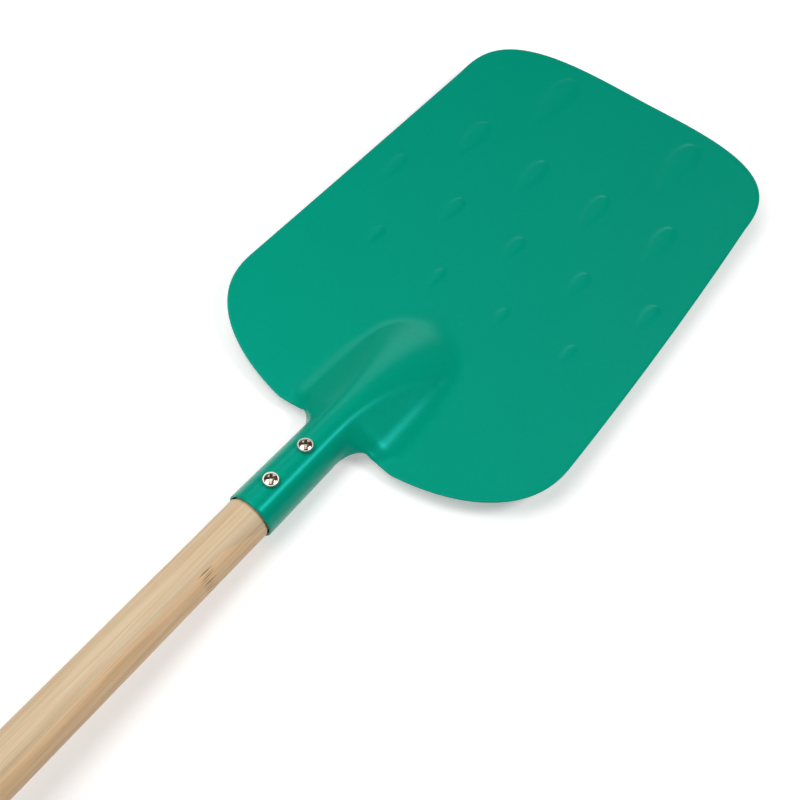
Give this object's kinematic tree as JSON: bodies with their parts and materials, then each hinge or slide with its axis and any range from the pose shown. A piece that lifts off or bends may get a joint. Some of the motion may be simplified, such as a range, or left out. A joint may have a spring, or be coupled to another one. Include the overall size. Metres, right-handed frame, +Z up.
{
  "type": "sand shovel",
  "caption": "Children's sand shovel: a dished, painted steel blade with pressed drops, rolled into a socket and screwed to a straight round wooden handle.",
  "frame": {"origin": "centre of the bounding box at floor level, with the shovel lying face up on the socket's heel and the blade's belly", "axes": "+Y along the shovel from the grip end to the blade's tip, +Z up out of the blade's face, +X to the right across the blade"},
  "size_m": [0.1984, 0.7991, 0.0583],
  "materials": {
    "green_paint": "glossy",
    "handle_wood": "satin, clear sealed",
    "plated_steel": "nickel plated, bright"
  },
  "bodies": {
    "root": {"blade": "green_paint", "handle": "handle_wood", "front_screw": "plated_steel", "rear_screw": "plated_steel"}
  },
  "joints": []
}
